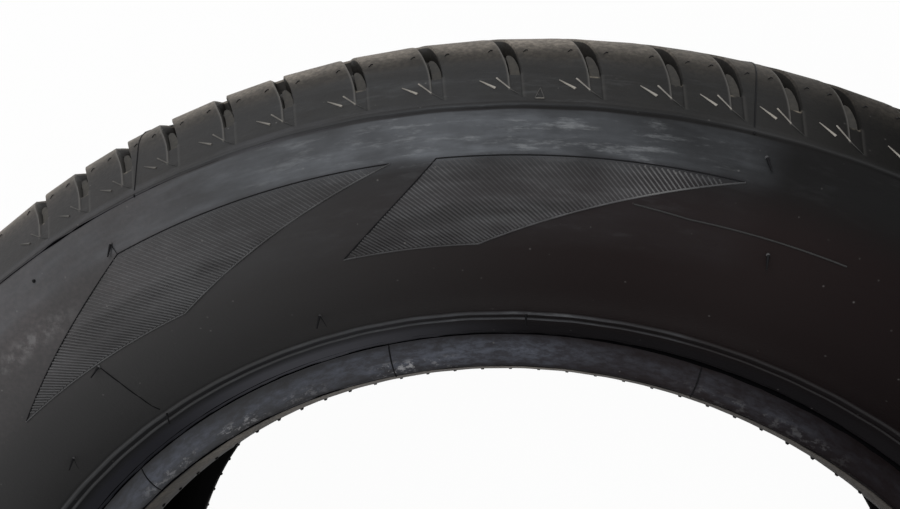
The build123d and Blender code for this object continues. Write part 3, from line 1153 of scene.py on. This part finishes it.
# %% Vent hairs
# A hair starts at a small worn plug and lies over towards the bead. Beside the first three lies a thin dark
# thread, a painted shadow of the hair. A vent has its angle, its radius and how far the hair is turned aside.
HAIRS = ((120.18, 287.1, 0), (135.36, 236.5, -8), (108.62, 238.3, -2), (126.22, 254.6, -25),
         (91.73, 228.0, 10), (77.65, 291.7, 25), (75.8, 264.2, 0), (127.1, 228.3, 30))
STUBS = ((126.45, 290.8, 0),)
RIB_EDGE, RIB_HEIGHT = 230, 90.4
HAIR_ENDS = ((0, 0, 0.0004), (-0.0004, -0.0042, 0.0016))
HAIR_SHADOW_ENDS = ((0, 0, 0.0003), (0.0027, -0.0034, 0.0008))


def vents(places):
    """Seed object with a point at each vent: three times round on both sides."""
    spots, flips, turns = [], [], []
    for side in (1, -1):
        for start in range(0, 360, 360 // PAIRS):
            for angle, r, yaw in places:
                at = radians(angle + start)
                z = side_height(r) if r > RIB_EDGE else RIB_HEIGHT
                spots.append((r * MM * cos(at), side * r * MM * sin(at), side * z * MM))
                flips.append(0.0 if side > 0 else pi)
                turns.append(side * radians(start + yaw))
    return edge_mesh("seed", spots, closed=False, flip=flips, turn=turns)


def on_vents(shape):
    """The shape at every vent, turned as the vent says."""
    return placed(Bench.given["Geometry"], shape, named("turn"), named("flip"))


def ball(radius):
    """Small ball."""
    return put("GeometryNodeMeshIcoSphere", dict(Radius=radius)).outputs[0]


given = geometry_tree("vent_hairs", Hair_radius=0.00042)
hair = tapered(line(*HAIR_ENDS, 4), 1.1, 0.6)
piece("vent_hairs", on_vents(tube(hair, given["Hair_radius"], True)), hair_rubber, vents(HAIRS))
given = geometry_tree("vent_threads", Thread_radius=0.00018)
hair_shadow = tapered(line(*HAIR_SHADOW_ENDS, 4), 1.0, 0.5)
piece("vent_threads", on_vents(tube(hair_shadow, given["Thread_radius"], True)), hair_rubber, vents(HAIRS[:3]))
given = geometry_tree("vent_plugs", Plug_radius=0.0007)
piece("vent_plugs", on_vents(ball(given["Plug_radius"])), ridge, vents(HAIRS))
given = geometry_tree("vent_stubs", Stub_radius=0.0007)
piece("vent_stubs", on_vents(ball(given["Stub_radius"])), hair_rubber, vents(STUBS))

# %% [markdown]
# ## Marks of the bead
# Small nibs ring the bore below the lip, left by vents in the bead ring of the mould, and a few fine lines
# cross the bead. An Array modifier with an empty could turn them round the axle. Instances in a tree do
# the same with no helper object, and the tree makes them real at its end.

# %% Nibs and fine lines of the bead
NIBS, FIRST_NIB, NIB_PLACE = 119, radians(117.7), (0.2019, 0, 0.0652)
BEAD_LINES, FIRST_LINE = 12, radians(105.2)
LINE_PLACES = dict(Start=(0.2184, 0, 0.0778), Middle=(0.2118, 0, 0.0820), End=(0.2056, 0, 0.0779))
given = geometry_tree("bead_nibs", Nibs=NIBS, Nib_radius=0.0009)
nib = put("GeometryNodeTransform", dict(Geometry=ball(given["Nib_radius"]), Translation=NIB_PLACE)).outputs[0]
piece("bead_nibs", both_sides(nib, given["Nibs"], FIRST_NIB, 2 * pi / NIBS), hair_rubber)

given = geometry_tree("bead_lines", Line_radius=0.0003)
across_bead = put("GeometryNodeCurveQuadraticBezier", dict(LINE_PLACES, Resolution=6)).outputs[0]
bead_line = tube(across_bead, given["Line_radius"])
piece("bead_lines", both_sides(bead_line, BEAD_LINES, FIRST_LINE), hair_rubber)

# %% [markdown]
# ## Camera, floor and light
# The camera looks down on the lying tyre from close by, so only its upper part is in the picture. The
# floor and the air are white. A small lamp would draw hard shadows in the cuts, so a broad soft one
# stands over the left end and leaves the right darker. What the camera sees as white is kept apart from
# the light that falls on the tyre, because a white room would wash the black out.

# %% Camera
CAMERA_PLACE = (-0.0000115, 0.288838, 0.370717)
CAMERA_TURNS = (("Y", 6.91385), ("X", -8.38577), ("Z", 2.1199))
CAMERA_LENS = 33.06
eye = bpy.data.cameras.new("camera")
eye.sensor_fit = "HORIZONTAL"
eye.sensor_width = 36.0
eye.lens = CAMERA_LENS
eye.clip_start = 0.01
camera = in_scene("camera", eye)
look = Matrix.Translation(CAMERA_PLACE)
for axis, angle in CAMERA_TURNS:
    look = look @ Matrix.Rotation(radians(angle), 4, axis)
camera.matrix_world = look
bpy.context.scene.camera = camera
print("camera with a lens of", CAMERA_LENS, "mm at", CAMERA_PLACE)


# %% Floor, air and lamp
FLOOR_HALF, FLOOR_GREY, FLOOR_GLOW = 6, (0.8, 0.8, 0.8, 1), 0.97
AIR_LEFT, AIR_RIGHT = 0.75, 0.3
LAMP_SIZE, LAMP_POWER = 1.3, 14.0
LAMP_PLACE, LAMP_TURN = (-0.55, 1.25, 1.25), (radians(-40), radians(-20), 0)


def shown(tree):
    """1 for what the camera sees, also by a mirror or glass, and 0 for light that falls on the tyre."""
    Bench.tree = tree
    rays = put("ShaderNodeLightPath").outputs
    return larger(larger(rays["Is Camera Ray"], rays["Is Glossy Ray"]), rays["Is Transmission Ray"])


mesh = bpy.data.meshes.new("floor")
mesh.from_pydata([(x * FLOOR_HALF, y * FLOOR_HALF, 0) for x, y in ((-1, -1), (1, -1), (1, 1), (-1, 1))], [],
                 [(0, 1, 2, 3)])
floor = bpy.data.objects.new("floor", mesh)
floor.location.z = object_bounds()[0][2]
bpy.context.scene.collection.objects.link(floor)
white = bpy.data.materials.new("white_floor")
white.use_nodes = True
seen = shown(white.node_tree)
matte = white.node_tree.nodes["Principled BSDF"]
feed(matte.inputs["Base Color"], FLOOR_GREY)
feed(matte.inputs["Roughness"], 1.0)
glow = put("ShaderNodeEmission").outputs[0]
blend = put("ShaderNodeMixShader", enumerate((times(seen, FLOOR_GLOW), matte.outputs[0], glow)))
feed(white.node_tree.nodes["Material Output"].inputs["Surface"], blend.outputs[0])
mesh.materials.append(white)

air = bpy.data.worlds.new("air")
air.use_nodes = True
bpy.context.scene.world = air
seen = shown(air.node_tree)
sky = air.node_tree.nodes["Background"]
feed(sky.inputs["Color"], (1, 1, 1, 1))
way = split(put("ShaderNodeTexCoord").outputs["Generated"])
feed(sky.inputs["Strength"], larger(seen, steps(way[0], -0.7, 0.6, AIR_LEFT, AIR_RIGHT)))

light = bpy.data.lights.new("soft_left", "AREA")
light.size = LAMP_SIZE
light.energy = LAMP_POWER
lamp = in_scene("soft_left", light)
lamp.location = LAMP_PLACE
lamp.rotation_euler = LAMP_TURN
bpy.context.scene.view_settings.view_transform = "Standard"
print("floor at", round(floor.location.z, 4), "m, lamp of", LAMP_POWER, "W")

# %% [markdown]
# ## The end

print("scene built")
